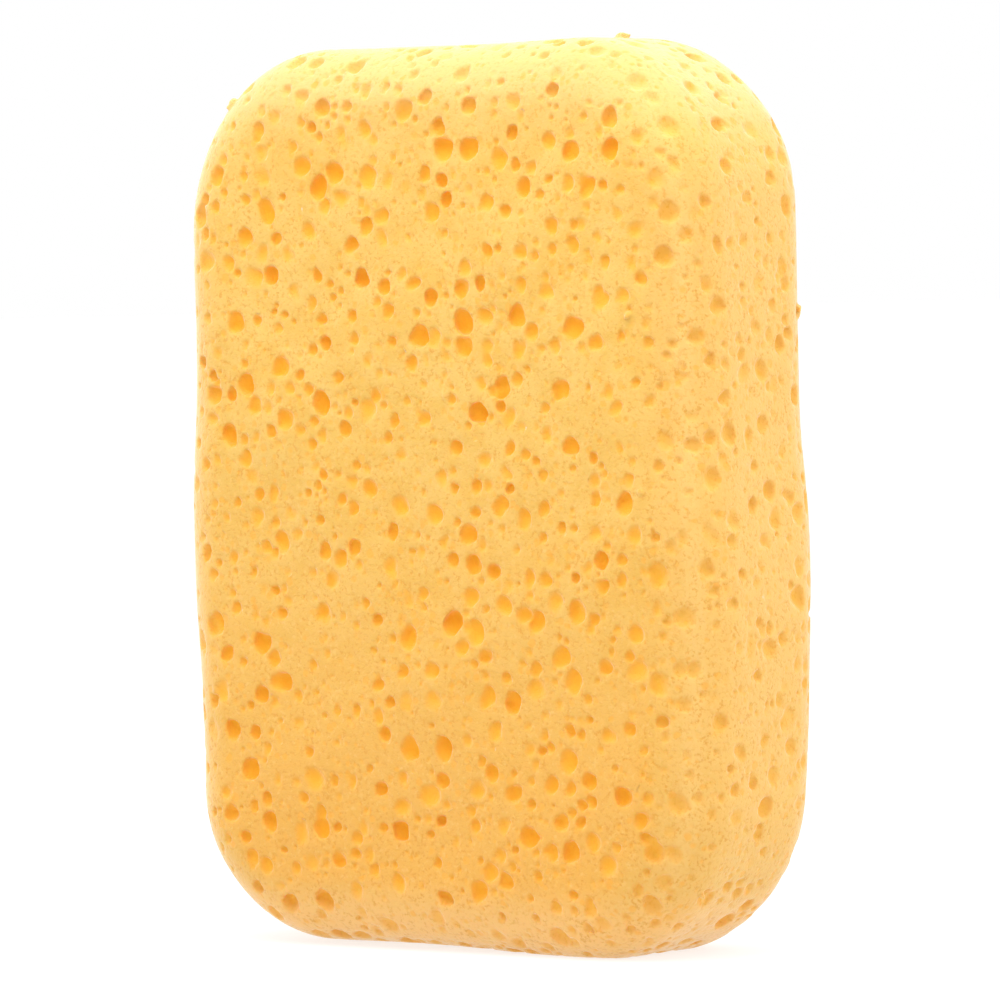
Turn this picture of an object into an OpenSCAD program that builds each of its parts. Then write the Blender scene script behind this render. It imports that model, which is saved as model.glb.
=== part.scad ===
// Grout sponge: one block of open-cell foam, standing on a short end.
// The origin is on the floor under the middle of the block.
// X runs across its width, Y through its thickness and Z up its length.

/* [Block] */
// Length of the block, from one short end to the other
block_l = 190; // [160:1:230]
// Width of the block across its large faces
block_w = 140; // [110:1:160]
// Thickness of the block between its large faces
block_t = 48; // [36:1:60]

/* [Rounding] */
// Radius of the four corners, seen square on to a large face
corner_r = 34; // [30:1:45]
// Radius that rolls each large face over into the sides
edge_r = 14; // [6:1:15]

/* [Hidden] */
$fn = 96;
quarter_turns = [0, 90, 180, 270];
straight_l = block_l - 2 * corner_r;
straight_w = block_w - 2 * corner_r;

// Half of a slice through the thickness: flat faces, with the outer edges rolled over.
module rolled_edge(reach) {
    translate([0, -block_t / 2]) square([reach - edge_r, block_t]);
    translate([0, edge_r - block_t / 2]) square([reach, block_t - 2 * edge_r]);
    for (side = [-1, 1])
        translate([reach - edge_r, side * (block_t / 2 - edge_r)]) circle(r = edge_r);
}

// A whole slice through the thickness, span wide.
module slice(span) {
    rolled_edge(span / 2);
    mirror([1, 0]) rolled_edge(span / 2);
}

// A quarter turn of the rolled edge, which rounds one corner of the block.
module corner(turn) {
    across = block_w / 2 - corner_r;
    up = block_l / 2 - corner_r;
    side_x = (turn == 0 || turn == 270) ? across : -across;
    side_z = (turn == 0 || turn == 90) ? up : -up;
    translate([side_x, 0, side_z])
        rotate([90, 0, 0])
            rotate([0, 0, turn])
                rotate_extrude(angle = 90) rolled_edge(corner_r);
}

// The foam block: an upright bar, a cross bar and the four rounded corners between them.
module sponge() {
    color("#fcc66e")
        translate([0, 0, block_l / 2])
            union() {
                linear_extrude(height = straight_l, center = true) slice(block_w);
                rotate([0, 90, 0])
                    linear_extrude(height = straight_w, center = true) slice(block_l);
                for (turn = quarter_turns) corner(turn);
            }
}

sponge();
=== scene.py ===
# %% [markdown]
# # A grout sponge
# A tiler wipes fresh grout off the tiles with one block of open-cell foam. The block is foamed as a
# long bun, cut to size and tumbled until its corners and edges are round, so its skin is a cut
# through thousands of gas bubbles. This lesson starts from the plain block that the CAD model
# gives, which says where the sponge is and how large, and carves the real foam out of that space.

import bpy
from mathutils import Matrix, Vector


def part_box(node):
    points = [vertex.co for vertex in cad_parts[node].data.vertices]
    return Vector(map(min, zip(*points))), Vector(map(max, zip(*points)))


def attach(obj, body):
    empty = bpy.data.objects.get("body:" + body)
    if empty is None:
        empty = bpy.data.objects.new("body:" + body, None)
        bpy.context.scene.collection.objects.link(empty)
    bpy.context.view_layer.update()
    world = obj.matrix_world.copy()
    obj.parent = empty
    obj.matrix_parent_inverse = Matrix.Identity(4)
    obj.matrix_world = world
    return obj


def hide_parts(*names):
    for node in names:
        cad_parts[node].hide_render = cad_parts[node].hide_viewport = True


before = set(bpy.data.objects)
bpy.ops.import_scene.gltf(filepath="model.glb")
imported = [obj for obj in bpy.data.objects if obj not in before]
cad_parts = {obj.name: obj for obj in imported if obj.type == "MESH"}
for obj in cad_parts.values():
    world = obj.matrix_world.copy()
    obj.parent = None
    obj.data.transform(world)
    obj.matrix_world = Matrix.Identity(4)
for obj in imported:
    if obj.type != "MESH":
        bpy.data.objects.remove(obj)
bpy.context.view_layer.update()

# %% [markdown]
# ## The block's own numbers
# The CAD node gives the length, width and thickness, so they aren't typed again. Everything is
# carved in millimetres, measured from the middle of the block, because a foam cell is easier to
# think of as half a millimetre than as 0.0005 of a metre. The mesh is turned into metres once, at
# the end.

# %% Size and place
import math

import bmesh
import bpy
import numpy as np
import openvdb
from mathutils import Matrix, Vector

MM = 0.001
low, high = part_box("sponge")
centre = (low + high) / 2
half_w, half_t, half_l = ((high - low) / 2 / MM)
print(f"block {2 * half_w:.0f} by {2 * half_t:.0f} by {2 * half_l:.0f} mm, centre {tuple(centre)}")

# %% [markdown]
# ## Camera
# The camera stands a metre and a half away with a long lens, almost level with the middle of the
# block and well round to its right, so that one large face and one side show. A long lens keeps
# the block's edges nearly parallel. The camera's matrix is built from three directions, ahead,
# right and up, and is then rolled by a degree, so that the block leans a little, as soft foam does
# when it stands on end. It aims a millimetre to the right of the block's middle and below it.

# %% Camera
CAMERA_DISTANCE = 1.487
CAMERA_AZIMUTH = math.radians(38.0)
CAMERA_ELEVATION = math.radians(1.8)
CAMERA_ROLL = math.radians(-1.1)
CAMERA_LENS = 254.4
CAMERA_SEES_TO = 100
AIM_RIGHT = 0.00126
AIM_DOWN = 0.00125


def look(position, ahead, roll):
    """The matrix of a camera or lamp at position that looks along ahead, rolled to its right."""
    ahead = ahead.normalized()
    right = ahead.cross(Vector((0, 0, 1))).normalized()
    up = right.cross(ahead)
    turned = Matrix((right, up, -ahead)).transposed().to_4x4()
    return Matrix.Translation(position) @ turned @ Matrix.Rotation(roll, 4, "Z")


away = Vector((
    math.sin(CAMERA_AZIMUTH) * math.cos(CAMERA_ELEVATION),
    -math.cos(CAMERA_AZIMUTH) * math.cos(CAMERA_ELEVATION),
    math.sin(CAMERA_ELEVATION),
))
screen_right = Vector((math.cos(CAMERA_AZIMUTH), math.sin(CAMERA_AZIMUTH), 0))
aim = centre + screen_right * AIM_RIGHT - Vector((0, 0, AIM_DOWN))
camera = bpy.data.objects.new("camera", bpy.data.cameras.new("camera"))
camera.data.lens = CAMERA_LENS
camera.data.clip_end = CAMERA_SEES_TO
camera.matrix_world = look(aim + away * CAMERA_DISTANCE, -away, CAMERA_ROLL)
bpy.context.scene.collection.objects.link(camera)
bpy.context.scene.camera = camera
print("camera at", tuple(round(v, 3) for v in camera.matrix_world.translation))

# %% [markdown]
# ## The skin, as a field of distances
# A carved block could be made with Boolean cuts, but thousands of bubbles that touch each other
# would leave knife-sharp rims and slivers. Here the block is a grid of numbers instead: each cell
# of the grid holds its distance to the skin, negative inside. A bubble is then cut by taking the
# larger of two distances, and a soft version of that rounds the rim, as the torn lips of foam are.
# The cells are about a third of a millimetre wide, and the grid reaches 3 mm past the block.

# %% Grid
VOXEL = 0.35
BAND = 3.0
reach = np.array([half_w, half_t, half_l]) + BAND
axes = [np.arange(-r, r + VOXEL, VOXEL, dtype=np.float32) for r in reach]
gy, gz = axes[1][None, :, None], axes[2][None, None, :]
print("grid of", " by ".join(str(len(a)) for a in axes), "cells")

# %% [markdown]
# The outline is a rectangle with four round corners, each with its own radius, because a tumbled
# block never comes out the same at every corner. Corners are named by their side and end, as -1 or
# 1 along X and Z. The soft foam gave way under the cutter, so the rim also swells and hollows, by
# one to three millimetres. For that the plain rectangle starts a millimetre or two inside the
# block, and gentle humps bring it out again. Each hump has its place in X and Z, how far it stands
# out, and its spread.

# %% Outline of the large faces
EDGE_R = 14.0
CORNER_R = {(-1, 1): 35.5, (1, 1): 34.0, (1, -1): 32.5, (-1, -1): 32.0}
SIDE_INSET = 2.0
END_INSET = 1.3
SWELLS = (
    (70, -22, 3.0, 26),
    (70, 45, 1.0, 20),
    (-70, -8, 2.0, 24),
    (-42, 95, 0.7, 13),
    (-10, 95, 0.5, 18),
    (36, 95, 0.9, 15),
    (-36, -95, 0.7, 14),
    (0, -95, 0.5, 18),
    (32, -95, 2.0, 18),
)


def rounded(across, up, radius):
    """Distance to a rounded rectangle, from the signed excess over its straight parts."""
    return np.minimum(np.maximum(across, up), 0) + np.hypot(
        np.maximum(across, 0), np.maximum(up, 0)) - radius


flat_x, flat_z = axes[0][:, None], axes[2][None, :]
outline = np.zeros((len(axes[0]), len(axes[2])), np.float32)
for (side, end), radius in CORNER_R.items():
    quarter = (np.sign(flat_x) * side >= 0) & (np.sign(flat_z) * end >= 0)
    across = np.abs(flat_x) - (half_w - SIDE_INSET) + radius
    up = np.abs(flat_z) - (half_l - END_INSET) + radius
    curve = rounded(across, up, radius)
    outline = np.where(quarter, curve, outline)
for x, z, height, spread in SWELLS:
    outline -= height * np.exp(-((flat_x - x) ** 2 + (flat_z - z) ** 2) / (2 * spread ** 2))
print("outline reaches", round(float(-outline.min()), 1), "mm deep")

# %% [markdown]
# The thickness works the same way, with the rolled edge as the radius. The two large faces are cut
# flat, but foam is never quite flat, so a few slow waves lift and lower them by a fraction of a
# millimetre. The foot is cut off level with the floor. Two more fields tell the places on the block
# apart for its colour. The field rim is 0 on the large faces, rises over the first half of the
# rolled edge and is 1 from there on. The field crest is 1 only along the middle of the rolled edge,
# where the colour paints a pale highlight.

# %% Skin of the whole block
RIM_FULL_AT = 0.5
FACE_WAVES = ((0.16, 61, 0.6), (0.12, 37, 2.2), (0.08, 23, 4.1))
WAVE_WAYS = ((0.8, 0.6, 1), (0.5, -0.9, 2))
TINY = 1e-6


def waves(x, z):
    """Slow waves over a large face, in millimetres, each running two ways."""
    total = 0
    for height, length, start in FACE_WAVES:
        per_mm = 2 * math.pi / length
        for along_x, along_z, times in WAVE_WAYS:
            total = total + height * np.sin(per_mm * (along_x * x + along_z * z) + times * start)
    return total


thickness = (np.abs(gy) - half_t + EDGE_R + waves(flat_x, flat_z)[:, None, :]).astype(np.float32)
skin = rounded((outline + EDGE_R)[:, None, :], thickness, EDGE_R).astype(np.float32)
skin = np.maximum(skin, -half_l - gz)
sideways = np.maximum(outline + EDGE_R, 0)[:, None, :]
forwards = np.maximum(thickness, 0)
crest = (2 * sideways * forwards / (sideways ** 2 + forwards ** 2 + TINY)).astype(np.float32)
rim = np.broadcast_to(np.clip(sideways / (RIM_FULL_AT * EDGE_R), 0, 1), skin.shape)
del thickness, sideways, forwards
print("skin field", skin.shape, "deepest", round(float(skin.min()), 1), "mm")

# %% [markdown]
# ## Where the bubbles are
# Foam bubbles come in all sizes. A few are five millimetres wide, many more are the size of a pin
# head, and between them the foam is a froth too fine to carve. The list gives the opening of each
# kind in millimetres, from and to, and how many are wanted on a thousand square millimetres. The
# large ones are placed first, and a smaller one is only accepted where it leaves a wall to its
# neighbours. One in six may overlap a neighbour by half its own radius instead, as bubbles do that
# ran into each other. The rounded edges, where outwards is along no axis, get fewer.

# %% Bubble sizes
SEED = 7
KINDS = (
    (3.8, 5.2, 6.2),
    (2.8, 3.8, 8.2),
    (2.0, 2.8, 11.5),
    (1.3, 2.0, 14.5),
    (0.8, 1.3, 27.0),
)
WALL = 0.35
MERGED_SHARE = 0.16
MERGED_OVERLAP = 0.5
RIM_SHARE = 0.85
ROUNDED_BELOW = 0.97
TRIES = 2
SLOPE_STEP = 2
rng = np.random.default_rng(SEED)

near = np.argwhere(np.abs(skin) < VOXEL / 2)
skin_area = len(near) * VOXEL ** 2
print(f"about {skin_area:.0f} square millimetres of skin")


def slope(cells):
    """Unit vectors that point out of the skin at these grid cells."""
    out = np.empty((len(cells), 3))
    for axis in range(3):
        step = np.zeros(3, int)
        step[axis] = SLOPE_STEP
        out[:, axis] = skin[tuple((cells + step).T)] - skin[tuple((cells - step).T)]
    return out / np.linalg.norm(out, axis=1)[:, None]


# %% Place the openings
def place():
    """The openings: a list of points on the skin, their outward directions and radii."""
    points, outward, radii = np.zeros((0, 3)), np.zeros((0, 3)), np.zeros(0)
    for small, large, per_thousand in KINDS:
        wanted = int(per_thousand * skin_area / 1000)
        cells = near[rng.integers(0, len(near), wanted * TRIES)]
        spots = np.stack([axes[i][cells[:, i]] for i in range(3)], axis=1)
        ways = slope(cells)
        sizes = rng.uniform(small, large, len(cells)) / 2
        chances = rng.random(len(cells))
        rolled = np.abs(ways).max(axis=1) < ROUNDED_BELOW
        done = 0
        for spot, way, size, chance, on_edge in zip(spots, ways, sizes, chances, rolled):
            if done == wanted:
                break
            if on_edge and chance > RIM_SHARE:
                continue
            gap = -MERGED_OVERLAP * size if chance < MERGED_SHARE else WALL
            clear = np.linalg.norm(points - spot, axis=1) > radii + size + gap
            if clear.all():
                points = np.vstack([points, spot])
                outward = np.vstack([outward, way])
                radii = np.append(radii, size)
                done += 1
    return points, outward, radii


openings, outward, opening_r = place()
print(len(openings), "openings placed")

# %% [markdown]
# Where a small bubble burst into a large one, the hole has a side lobe. One opening in seven gets
# one: a second opening about half as wide, whose middle lies near the edge of the first.

# %% Side lobes
LOBE_SHARE = 0.14
LOBE_REACH = (0.75, 1.05)
LOBE_SIZE = (0.4, 0.65)
lobed = rng.random(len(openings)) < LOBE_SHARE
along = np.cross(outward[lobed], rng.normal(0, 1, (lobed.sum(), 3)))
along /= np.linalg.norm(along, axis=1)[:, None]
reach_out = opening_r[lobed] * rng.uniform(*LOBE_REACH, lobed.sum())
openings = np.vstack([openings, openings[lobed] + along * reach_out[:, None]])
outward = np.vstack([outward, outward[lobed]])
opening_r = np.append(opening_r, opening_r[lobed] * rng.uniform(*LOBE_SIZE, lobed.sum()))
print(len(openings), "openings with their lobes, from", round(opening_r.min() * 2, 2), "to",
      round(opening_r.max() * 2, 2), "mm wide")

# %% [markdown]
# ## Cutting the bubbles open
# A bubble was round before the cut. If the cut passed below its middle, little more than a dish
# shows. If it passed above, most of the bubble is behind a narrow mouth, and looks deep and dark.
# The number sink says how far the middle lies under the skin, in radii of the bubble, and is
# negative where it lies above. It is random between a shallowest and a deepest value, given here
# for the large faces first and for the rest of the block second, where tumbling has worn the holes
# shallow. Small bubbles are dishes too, and only the large ones reach the deepest value.
#
# Gas rises while the foam sets, so most bubbles are a little taller than they are wide, and lean.
# A perfect ellipsoid would look like the dent of a ball, so four random ripples make it ragged.

# %% Bubble shapes
SHALLOWEST = (-0.78, -0.88)
DEEPEST_SMALL = (-0.20, -0.35)
DEEPEST_LARGE = (0.25, -0.20)
SMALL_TO_LARGE = (0.45, 1.3)
FACE_ABOVE = 0.9
TALL = (0.92, 1.32)
LEAN = 14
RIPPLES = 4
RIPPLE_TURNS = (2.0, 5.0)
off_face = np.where(np.abs(outward[:, 1]) > FACE_ABOVE, 0, 1)
deepest = [np.interp(opening_r, SMALL_TO_LARGE, ends) for ends in zip(DEEPEST_SMALL, DEEPEST_LARGE)]
deepest = np.choose(off_face, deepest)
shallowest = np.choose(off_face, SHALLOWEST)
sink = shallowest + (deepest - shallowest) * rng.random(len(openings))
bubble_r = opening_r / np.sqrt(1 - sink ** 2)
middles = openings - outward * (sink * bubble_r)[:, None]
tall = rng.uniform(*TALL, len(openings))
lean = np.radians(rng.normal(0, LEAN, (len(openings), 2)))
ripples = rng.normal(0, 1, (len(openings), RIPPLES, 3))
ripple_turns = rng.uniform(*RIPPLE_TURNS, (len(openings), RIPPLES))
ripples *= (ripple_turns / np.linalg.norm(ripples, axis=2))[..., None]
starts = rng.uniform(0, 2 * math.pi, (len(openings), RIPPLES))
print("bubbles from", round(bubble_r.min() * 2, 2), "to", round(bubble_r.max() * 2, 2), "mm wide")

# %% [markdown]
# The whole grid has nearly forty million cells and a bubble touches a few hundred or a few thousand
# of them, so each bubble is worked out on its own small window of the grid. The helpers turn an
# ellipsoid a little, find its window, measure the distance to it and join two distances softly.

# %% Tools that cut
RAGGED = 0.055


def tilted(about_x, about_y):
    """A small rotation as a 3 by 3 array."""
    return np.array(Matrix.Rotation(about_x, 3, "X") @ Matrix.Rotation(about_y, 3, "Y"))


def window(middle, radius):
    """The slices of the grid that hold everything within radius of middle."""
    first = [int((m - radius - a[0]) / VOXEL) for m, a in zip(middle, axes)]
    last = [int((m + radius - a[0]) / VOXEL) + 2 for m, a in zip(middle, axes)]
    return tuple(slice(max(f, 0), min(t, len(a))) for f, t, a in zip(first, last, axes))


def blob(middle, radii, turn, cells, waves_in=(), starts_at=()):
    """Distance outside an ellipsoid on a window of the grid, negative inside it."""
    x = axes[0][cells[0]][:, None, None] - middle[0]
    y = axes[1][cells[1]][None, :, None] - middle[1]
    z = axes[2][cells[2]][None, None, :] - middle[2]
    square = 0
    for row, radius in zip(turn.T, radii):
        square = square + ((row[0] * x + row[1] * y + row[2] * z) / radius) ** 2
    away_from = np.sqrt(square) - 1
    for wave, start in zip(waves_in, starts_at):
        wave = wave / min(radii)
        away_from += RAGGED * np.sin(wave[0] * x + wave[1] * y + wave[2] * z + start)
    return away_from * min(radii)


def soft_max(a, b, width):
    """The larger of two distances, with the crease where they cross rounded off."""
    near_crease = np.maximum(width - np.abs(a - b), 0) / width
    return np.maximum(a, b) + near_crease ** 2 * width / 4


widest = skin[window((0, 0, 0), KINDS[0][1] / 2)]
print("a window round the widest opening has", widest.size, "cells, of", skin.size)

# %% [markdown]
# Each bubble is now cut out of the skin. Its lip is rounded over a third of a millimetre, or over
# less on the smallest bubbles.

# %% Carve
LIP = 0.32
LIP_SHARE = 0.4
RIPPLE_ROOM = 1.25
foam = skin.copy()
for middle, radius, stretch, (about_x, about_y), ripple, start in zip(
        middles, bubble_r, tall, lean, ripples, starts):
    radii = (radius / math.sqrt(stretch), radius / math.sqrt(stretch), radius * math.sqrt(stretch))
    cells = window(middle, max(radii) * RIPPLE_ROOM + LIP)
    lip = min(LIP, LIP_SHARE * radius)
    hole = blob(middle, radii, tilted(about_x, about_y), cells, ripple, start)
    foam[cells] = soft_max(foam[cells], -hole, lip)
print("carved", len(middles), "bubbles")

# %% [markdown]
# ## Torn foam
# Tumbling tears the skin here and there, and leaves a nib of foam standing up to a millimetre
# proud. In three places on the rim a tuft is left, which is nine such lumps together. They could be
# separate little meshes pressed into the block, but then their walls would cross its skin. Here
# they are added to the same field, by taking the smaller distance, so that they grow out of it.

# %% Torn nibs and tufts
NIBS = 14
TUFTS = (((66.6, 18.6, 37.5), 0.15), ((36.3, 0, 95.0), 0.8), ((-54.6, -18, 83.6), 0.3))
TUFT_LUMPS = 9
TUFT_SPREAD = 0.6
TUFT_ROOT = -0.4
NIB_SIZE = (0.45, 0.8)
TUFT_SIZE = (0.45, 0.7)
NIB_TURN = 1.2
TUFT_TURN = 1.5
LUMP_FORM = (1, 0.7, 1.5)
LUMP_BLEND = 0.3
LUMP_ROOM = 2.5


def add_lump(spot, size, turn):
    """Adds one small lump of foam to the block."""
    cells = window(spot, LUMP_ROOM)
    lump = blob(spot, tuple(size * part for part in LUMP_FORM), turn, cells)
    foam[cells] = -soft_max(-foam[cells], -lump, LUMP_BLEND)


picks = near[rng.integers(0, len(near), NIBS)]
for cell in picks:
    spot = np.array([axes[i][cell[i]] for i in range(3)])
    add_lump(spot, rng.uniform(*NIB_SIZE), tilted(*rng.uniform(-NIB_TURN, NIB_TURN, 2)))
near_spots = np.stack([axes[i][near[:, i]] for i in range(3)], axis=1)
for tuft, stands_out in TUFTS:
    closest = np.linalg.norm(near_spots - tuft, axis=1).argmin()
    way = slope(near[closest:closest + 1])[0]
    for _ in range(TUFT_LUMPS):
        aside = rng.normal(0, TUFT_SPREAD, 3)
        out_by = rng.uniform(TUFT_ROOT, stands_out)
        spot = near_spots[closest] + aside + way * (out_by - aside @ way)
        add_lump(spot, rng.uniform(*TUFT_SIZE), tilted(*rng.uniform(-TUFT_TURN, TUFT_TURN, 2)))
foam = np.maximum(foam, -half_l - gz)
print(NIBS, "nibs and", len(TUFTS), "tufts")

# %% [markdown]
# ## From the field to a mesh
# OpenVDB, the library behind Blender's volumes, walks the grid and lays a mesh where the distance
# is zero. Its squares are taken as they come, because they already face outwards.

# %% Mesh from the field


def mesh_from_field(field):
    """A closed mesh of the zero level of the field, in metres in the CAD frame."""
    grid = openvdb.FloatGrid(BAND)
    grid.copyFromArray(np.clip(field, -BAND, BAND))
    grid.transform = openvdb.createLinearTransform(voxelSize=VOXEL)
    points, _, quads = grid.convertToPolygons(isovalue=0.0, adaptivity=0.0)
    points = (points + np.array([a[0] for a in axes])) * MM + np.array(centre)
    mesh = bpy.data.meshes.new("foam_block")
    mesh.vertices.add(len(points))
    mesh.vertices.foreach_set("co", points.astype(np.float32).ravel())
    mesh.loops.add(quads.size)
    mesh.loops.foreach_set("vertex_index", quads.astype(np.int32).ravel())
    mesh.polygons.add(len(quads))
    mesh.polygons.foreach_set("loop_start", np.arange(len(quads), dtype=np.int32) * 4)
    mesh.update(calc_edges=True)
    mesh.validate()
    return mesh


sponge = bpy.data.objects.new("foam_block", mesh_from_field(foam))
bpy.context.scene.collection.objects.link(sponge)
dense = len(sponge.data.polygons)
print("dense mesh of", dense, "squares")

# %% [markdown]
# The mesh is as dense on the flat skin as in the smallest hole, so Decimate takes away the faces
# that matter least. Where two holes nearly meet, the carving can leave a crumb of foam that
# hangs on nothing. Such crumbs are found by giving every point the lowest number in its own part of
# the mesh, and only the largest part is kept. The volume that is printed is positive when the
# faces look outwards.

# %% Thin the mesh and drop loose crumbs
TARGET_TRIANGLES = 420_000


def applied(obj):
    """Replaces an object's mesh by the mesh that its modifiers make."""
    depsgraph = bpy.context.evaluated_depsgraph_get()
    mesh = bpy.data.meshes.new_from_object(obj.evaluated_get(depsgraph))
    obj.modifiers.clear()
    obj.data = mesh
    return obj


def keep_largest(mesh):
    """Removes every part of the mesh that doesn't hang together with its largest part."""
    ends = np.empty(len(mesh.edges) * 2, np.int32)
    mesh.edges.foreach_get("vertices", ends)
    a, b = ends.reshape(-1, 2).T
    label = np.arange(len(mesh.vertices))
    while (label[a] != label[b]).any():
        lower = np.minimum(label[a], label[b])
        np.minimum.at(label, label[a], lower)
        np.minimum.at(label, label[b], lower)
        label = label[label]
    loose = np.flatnonzero(label != np.bincount(label).argmax())
    work = bmesh.new()
    work.from_mesh(mesh)
    work.verts.ensure_lookup_table()
    bmesh.ops.delete(work, geom=[work.verts[i] for i in loose], context="VERTS")
    print(len(loose), "points of loose crumbs removed, volume",
          round(work.calc_volume(signed=True) / MM ** 3), "cubic millimetres")
    work.to_mesh(mesh)
    work.free()


thin = sponge.modifiers.new("thin", "DECIMATE")
thin.ratio = TARGET_TRIANGLES / (2 * dense)
applied(sponge)
keep_largest(sponge.data)
sponge.data.shade_smooth()
print(dense, "squares thinned to", len(sponge.data.polygons), "faces")

# %% [markdown]
# ## What each point remembers
# Light that falls into a bubble bounces from wall to wall, and each bounce takes out more blue and
# green, so a hole in yellow foam looks orange. The mesh remembers for each point how far it lies
# below the skin of the uncut block, and the material paints that orange into its colour by it, as
# painted shade. It also remembers the two fields that tell the rounded rim and its crest from the
# flat faces.

# %% Depth, rim and crest on the mesh
TO_LAST_CELL = 1.001


def sample(field, points):
    """The field at points in millimetres, read between the eight grid cells round each."""
    at = (points - np.array([a[0] for a in axes])) / VOXEL
    at = np.clip(at, 0, np.array(field.shape) - TO_LAST_CELL)
    base = at.astype(int)
    part = at - base
    value = 0
    for corner in np.ndindex(2, 2, 2):
        weight = np.prod(np.where(corner, part, 1 - part), axis=1)
        value = value + weight * field[tuple((base + corner).T)]
    return value


places = np.empty(len(sponge.data.vertices) * 3, np.float32)
sponge.data.vertices.foreach_get("co", places)
places = (places.reshape(-1, 3) - np.array(centre)) / MM
depth = np.maximum(-sample(skin, places), 0)
marks = {"depth": depth, "crest": sample(crest, places), "rim": sample(rim, places)}
for name, values in marks.items():
    attribute = sponge.data.attributes.new(name, "FLOAT", "POINT")
    attribute.data.foreach_set("value", values.astype(np.float32))
print("deepest point", round(float(depth.max()), 2), "mm below the skin")

# %% [markdown]
# ## Shader maths
# A material is a sum of small recipes, and those read best as formulas. This class holds one output
# of a node. Adding, subtracting or multiplying two of them adds the Math node that does it, and
# `mix` and `node` make the rest. A Mix node has a socket for every kind of value, several of them
# with the same name, so the four that mix colours are told apart by number.

# %% Sockets that calculate
MIX_FACTOR, MIX_FIRST, MIX_SECOND, MIX_COLOUR = 0, 6, 7, 2


class Value:
    """One output socket of a node, which can be used in sums."""

    def __init__(self, tree, socket):
        self.tree = tree
        self.socket = socket

    def node(self, kind, settings=None, inputs=None, output=0):
        """A new node of that kind, with its settings made first and then its inputs."""
        made = self.tree.nodes.new(kind)
        for name, value in (settings or {}).items():
            setattr(made, name, value)
        for name, value in (inputs or {}).items():
            if isinstance(value, Value):
                self.tree.links.new(value.socket, made.inputs[name])
            else:
                made.inputs[name].default_value = value
        return Value(self.tree, made.outputs[output])

    def maths(self, operation, *values):
        return self.node("ShaderNodeMath", {"operation": operation}, dict(enumerate(values)))

    def __add__(self, other):
        return self.maths("ADD", self, other)

    def __sub__(self, other):
        return self.maths("SUBTRACT", self, other)

    def __rsub__(self, other):
        return self.maths("SUBTRACT", other, self)

    def __mul__(self, other):
        return self.maths("MULTIPLY", self, other)

    __radd__ = __add__
    __rmul__ = __mul__

    def power_of(self, base):
        return self.maths("POWER", base, self)

    def between(self, start, end):
        """0 before start, 1 past end, and a smooth step between them."""
        inputs = {"Value": self, "From Min": start, "From Max": end}
        return self.node("ShaderNodeMapRange", {"interpolation_type": "SMOOTHSTEP"}, inputs)

    def mix(self, first, second):
        """A colour between first, at 0, and second, at 1."""
        inputs = {MIX_FACTOR: self, MIX_FIRST: first, MIX_SECOND: second}
        return self.node("ShaderNodeMix", {"data_type": "RGBA"}, inputs, output=MIX_COLOUR)


def new_material(name):
    """An empty Principled material, and a Value to start its sums from."""
    material = bpy.data.materials.new(name)
    material.use_nodes = True
    shader = material.node_tree.nodes["Principled BSDF"]
    place = material.node_tree.nodes.new("ShaderNodeTexCoord")
    return material, shader, Value(material.node_tree, place.outputs["Object"])


foam_material, foam_shader, place_in = new_material("open_cell_foam")
print("material", foam_material.name, "started")

# %% [markdown]
# ## Patterns in the foam
# Some of what is seen on foam is too fine to carve or isn't a shape at all. The froth between the
# bubbles has cells under a millimetre wide, and it clusters. Slow patches of paler foam run through
# the bun. The patterns could be painted pictures, but procedural noise has no seams and
# follows the foam into every hole. A few helpers make them: lumpy noise, round dots of mixed size,
# the numbers that the mesh remembers, and a fade that starts at the skin.

# %% Helpers for patterns
DOT_LARGEST = 0.75
DOT_SOFTNESS = 0.3


def noise(size, detail=2.0, roughness=0.5):
    """Noise whose lumps are about size millimetres across."""
    inputs = {"Vector": place_in, "Scale": 1 / (size * MM), "Detail": detail,
              "Roughness": roughness}
    return place_in.node("ShaderNodeTexNoise", None, inputs)


def dots(size, share):
    """Soft round spots of many sizes, in that share of the cells of about size millimetres."""
    inputs = {"Vector": place_in, "Scale": 1 / (size * MM), "Randomness": 1.0}
    distance = place_in.node("ShaderNodeTexVoronoi", None, inputs)
    chance = Value(distance.tree, distance.socket.node.outputs["Color"])
    radius = (chance - (1 - share)) * (DOT_LARGEST / share)
    return (radius - distance).between(0.0, DOT_SOFTNESS)


def stored(name):
    """A number that the mesh keeps for each of its points."""
    return place_in.node("ShaderNodeAttribute", {"attribute_name": name}, None, output="Fac")


def fades_in(depth_mm):
    """0 on the skin, rising to 1 a few times depth_mm below it."""
    return 1 - (stored("depth") * (-1 / depth_mm)).power_of(math.e)


patches = noise(7.0, detail=3.0).between(0.35, 0.65)
clusters = noise(3.6, detail=2.0).between(0.40, 0.64)
fibres = noise(1.1, detail=2.5, roughness=0.6).between(0.54, 0.70)
froth = noise(0.85, detail=2.5, roughness=0.6).between(0.48, 0.68)
pits = dots(2.0, 0.6)
grain = noise(0.5, detail=1.0)
print("patterns made of", len(place_in.tree.nodes), "nodes")
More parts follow.
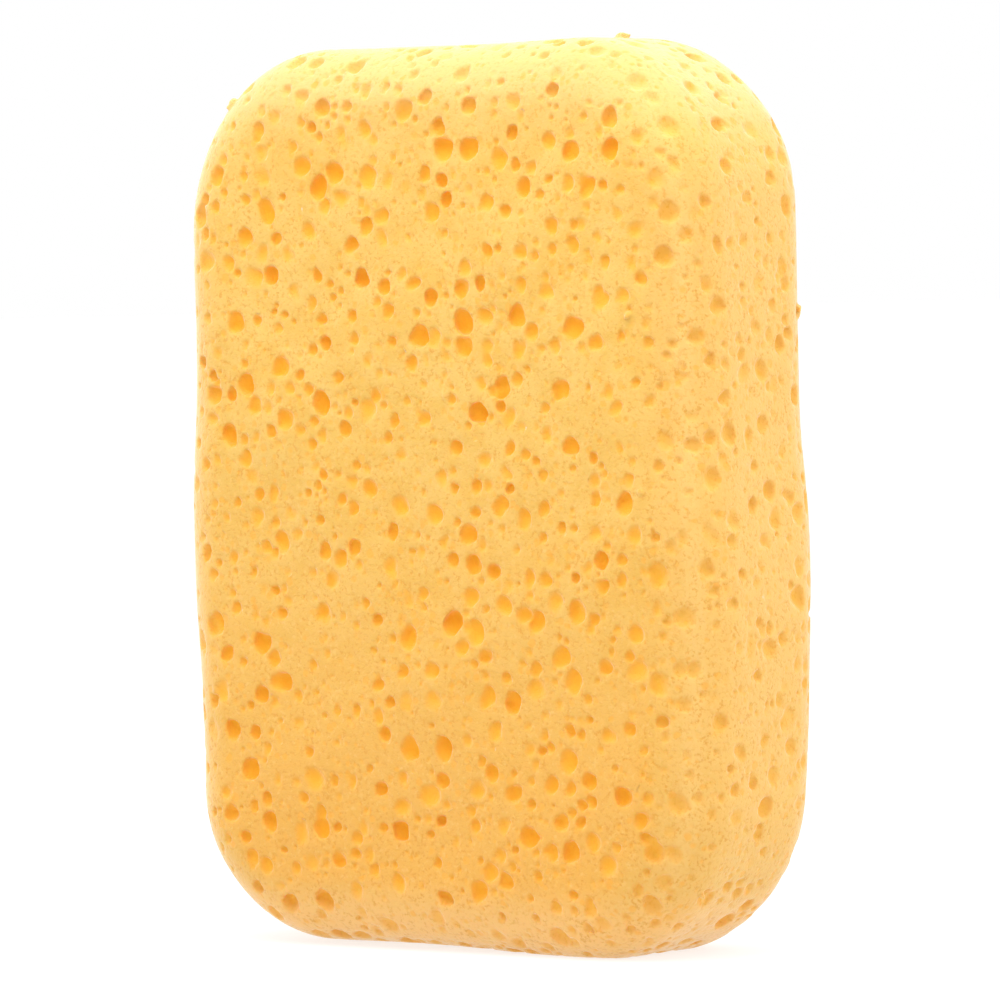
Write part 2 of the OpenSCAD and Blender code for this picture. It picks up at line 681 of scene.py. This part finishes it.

# %% [markdown]
# ## Places on the block
# The block isn't painted the same colour all over, partly for the light that falls on it. Its top
# is painted pale as a painted highlight of the light from above. Towards the foot it is painted
# more orange as painted shade, down to the sole, which is painted pale again for the glow of the
# floor it stands on. The rounded rim is painted paler than the faces as painted sheen, and palest
# along the middle of its crest as a painted highlight. Each of those places is a number between 0
# and 1, from the height above the floor or from what the mesh remembers.

# %% Where on the block
TOP_HIGHLIGHT_FROM, TOP_HIGHLIGHT_TO = 0.166, 0.180
SOLE_GLOW_FROM, SOLE_GLOW_TO = 0.017, 0.005
FOOT_SHADE_FROM, FOOT_SHADE_TO = 0.13, 0.0
CREST_FROM, CREST_TO = 0.92, 1.0
height = place_in.node("ShaderNodeSeparateXYZ", None, {"Vector": place_in}, output="Z")
top_highlight = height.between(TOP_HIGHLIGHT_FROM, TOP_HIGHLIGHT_TO)
sole_glow = height.between(SOLE_GLOW_FROM, SOLE_GLOW_TO)
foot_shade = height.between(FOOT_SHADE_FROM, FOOT_SHADE_TO)
on_rim = stored("rim")
crest_highlight = stored("crest").between(CREST_FROM, CREST_TO)
print("dry above", TOP_HIGHLIGHT_FROM, "m and damp below", FOOT_SHADE_FROM, "m")

# %% [markdown]
# ## Colour of the foam
# The colours are laid over each other in the order in which a hand would glaze them: the skin and
# its patches first, then the painted light and shade of the places on the block, then the pale
# fibres, the froth and the pits, and last the inside of the bubbles. That inside is painted orange
# just below the skin and a purer orange further down, as painted shade for the light that bounces
# in the hollows. It is weaker on the rim, where the holes are shallow, and at the painted pale top.

# %% Foam colours
SKIN = (0.665, 0.401, 0.084, 1)
PALE = (0.69, 0.440, 0.113, 1)
RIM_SHEEN = (0.73, 0.438, 0.124, 1)
FIBRE_AND_HIGHLIGHT = (0.75, 0.478, 0.152, 1)
TOP_HIGHLIGHT = (0.72, 0.462, 0.160, 1)
SOLE_GLOW = (0.79, 0.460, 0.150, 1)
FOOT_SHADE = (0.70, 0.368, 0.073, 1)
ORANGE = (0.78, 0.362, 0.043, 1)
DEEP = (0.95, 0.50, 0.026, 1)
FRECKLE = (0.62, 0.285, 0.036, 1)
print("skin", SKIN[:3], "and deepest orange", DEEP[:3])

# %% How strongly each colour covers
RIM_SHEEN_COVER = 0.8
CREST_HIGHLIGHT_COVER = 0.6
FOOT_SHADE_OFF_RIM = 0.9
TOP_HIGHLIGHT_ON_FACE = 0.5
FIBRE_COVER = 0.4
FROTH_COVER = 0.27
CLUSTER_COVER = 0.42
TOP_HIGHLIGHT_CLEARS = 0.4
PIT_COVER = 0.55
RIM_HOLES_LOSE = 0.5
ORANGE_DEPTH = 0.36
DEEP_DEPTH = 2.2

# Painted shade: how strongly the holes are painted orange by their depth, for the light that
# bounces inside them.
hollow_shade = fades_in(ORANGE_DEPTH) * (1 - on_rim * RIM_HOLES_LOSE) * (1 - top_highlight * TOP_HIGHLIGHT_CLEARS)
base = patches.mix(SKIN, PALE)
# Painted sheen: the rounded rim and the narrow sides are painted paler, for the light they catch at
# a low angle.
base = (on_rim * RIM_SHEEN_COVER).mix(base, RIM_SHEEN)
# Painted highlight: the middle of the rolled edge is painted paler, for the light it catches.
base = (crest_highlight * CREST_HIGHLIGHT_COVER).mix(base, FIBRE_AND_HIGHLIGHT)
# Painted shade: towards the foot the faces are painted darker and more orange, less so on the rim.
base = (foot_shade * (1 - on_rim * FOOT_SHADE_OFF_RIM)).mix(base, FOOT_SHADE)
# Painted highlight: the top of the block is painted paler, for the light from above, most on the
# rim.
base = (top_highlight * (TOP_HIGHLIGHT_ON_FACE + on_rim * (1 - TOP_HIGHLIGHT_ON_FACE))).mix(base, TOP_HIGHLIGHT)
# Painted light: the sole is painted pale, for the glow of the floor under it.
base = sole_glow.mix(base, SOLE_GLOW)
# The pale fibres are the foam's own random tone, in the same colour as the crest's painted
# highlight.
base = (fibres * FIBRE_COVER).mix(base, FIBRE_AND_HIGHLIGHT)
# Under the top's painted highlight the freckles and the hole shade fade, as if washed out by light.
freckles = froth * (FROTH_COVER + CLUSTER_COVER * clusters) * (1 - top_highlight * TOP_HIGHLIGHT_CLEARS)
base = freckles.mix(base, FRECKLE)
# Painted shade: the pits are hollows too fine to carve, painted the orange of light bouncing inside
# a hole.
base = (pits * PIT_COVER).mix(base, ORANGE)
# Painted shade: the holes are painted orange, a purer orange deeper down.
base = hollow_shade.mix(base, fades_in(DEEP_DEPTH).mix(ORANGE, DEEP))
tree = foam_material.node_tree
tree.links.new(base.socket, foam_shader.inputs["Base Color"])
print("colour made of", len(tree.nodes), "nodes")

# %% [markdown]
# ## Surface of the foam
# The froth and the pits are also a light bump, because they are real hollows, too small or too
# shallow to carve, and a fine grain stands up between them. Foam is dull all over. Its fibres catch
# light at a low angle, which is what sheen is for, and light soaks a millimetre into it, red
# furthest, which softens every shadow.

# %% Foam surface
GRAIN_UP = 0.6
FROTH_DOWN = 0.4
PITS_DOWN = 0.6
BUMP_STRENGTH = 0.4
BUMP_HEIGHT = 0.0003
FOAM_SURFACE = {
    "Roughness": 0.95,
    "Specular IOR Level": 0.25,
    "Sheen Weight": 0.5,
    "Sheen Roughness": 0.4,
    "Subsurface Weight": 0.35,
    "Subsurface Radius": (1.0, 0.45, 0.15),
    "Subsurface Scale": 0.0015,
}
relief = grain * GRAIN_UP - froth * FROTH_DOWN - pits * PITS_DOWN
bump_inputs = {"Height": relief, "Strength": BUMP_STRENGTH, "Distance": BUMP_HEIGHT}
bump = place_in.node("ShaderNodeBump", None, bump_inputs)
tree.links.new(bump.socket, foam_shader.inputs["Normal"])
for name, value in FOAM_SURFACE.items():
    foam_shader.inputs[name].default_value = value
sponge.data.materials.clear()
sponge.data.materials.append(foam_material)
print("foam material with", len(tree.nodes), "nodes")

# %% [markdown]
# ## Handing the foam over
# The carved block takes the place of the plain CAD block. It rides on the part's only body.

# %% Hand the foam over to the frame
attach(sponge, "root")
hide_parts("sponge")
print("foam_block stands for the CAD node sponge")

# %% [markdown]
# ## Floor
# The sponge stands on a plain white floor that glows a little from inside, like a light table. A
# floor that only reflects would turn grey towards the horizon and carry a strong shadow. This one
# stays white all the way, keeps only a faint shadow at the foot, and throws light up under the
# block's rounded edge.

# %% Floor
FLOOR_R = 30.0
FLOOR_CORNERS = 64
FLOOR_SURFACE = {
    "Base Color": (0.3, 0.3, 0.3, 1),
    "Emission Color": (1, 1, 1, 1),
    "Emission Strength": 0.73,
    "Roughness": 0.9,
    "Specular IOR Level": 0.1,
}
floor_mesh = bpy.data.meshes.new("floor")
ring = [(FLOOR_R * math.cos(a), FLOOR_R * math.sin(a), low.z)
        for a in np.linspace(0, 2 * math.pi, FLOOR_CORNERS, endpoint=False)]
floor_mesh.from_pydata(ring, [], [list(range(len(ring)))])
floor = bpy.data.objects.new("floor", floor_mesh)
bpy.context.scene.collection.objects.link(floor)
floor_material, floor_shader, _ = new_material("pale_floor")
for name, value in FLOOR_SURFACE.items():
    floor_shader.inputs[name].default_value = value
floor_mesh.materials.append(floor_material)
print("floor", 2 * FLOOR_R, "m across")

# %% [markdown]
# ## Light
# Most of the light comes evenly from all sides, as in a light tent, so the world is plain white.
# Four soft square lamps shape the block: one above makes its top the palest place, one in front
# and above lights the large face, and one on either side, a little behind, brightens the edges.
# The lamps light the block but aren't seen themselves. The picture is shown with the Standard view,
# because a film-like view would grey the yellow.

# %% Light
ROOM_LIGHT = 1.0
LAMPS = (
    ("above", (0.0, -0.10, 0.72), 0.5, 1.4),
    ("front", (0.05, -0.24, 0.47), 0.42, 1.3),
    ("right", (0.75, 0.35, 0.60), 1.0, 4.0),
    ("left", (-1.0, 0.05, 0.40), 1.0, 2.8),
)


def soft_lamp(name, position, size, watts):
    """A square lamp that faces the middle of the block."""
    data = bpy.data.lights.new(name, "AREA")
    data.shape = "SQUARE"
    data.size = size
    data.energy = watts
    lamp = bpy.data.objects.new(name, data)
    lamp.matrix_world = look(Vector(position), centre - Vector(position), 0)
    lamp.visible_camera = False
    bpy.context.scene.collection.objects.link(lamp)


world = bpy.data.worlds.new("room")
world.use_nodes = True
world.node_tree.nodes["Background"].inputs["Color"].default_value = (1, 1, 1, 1)
world.node_tree.nodes["Background"].inputs["Strength"].default_value = ROOM_LIGHT
bpy.context.scene.world = world
for lamp in LAMPS:
    soft_lamp(*lamp)
bpy.context.scene.view_settings.view_transform = "Standard"
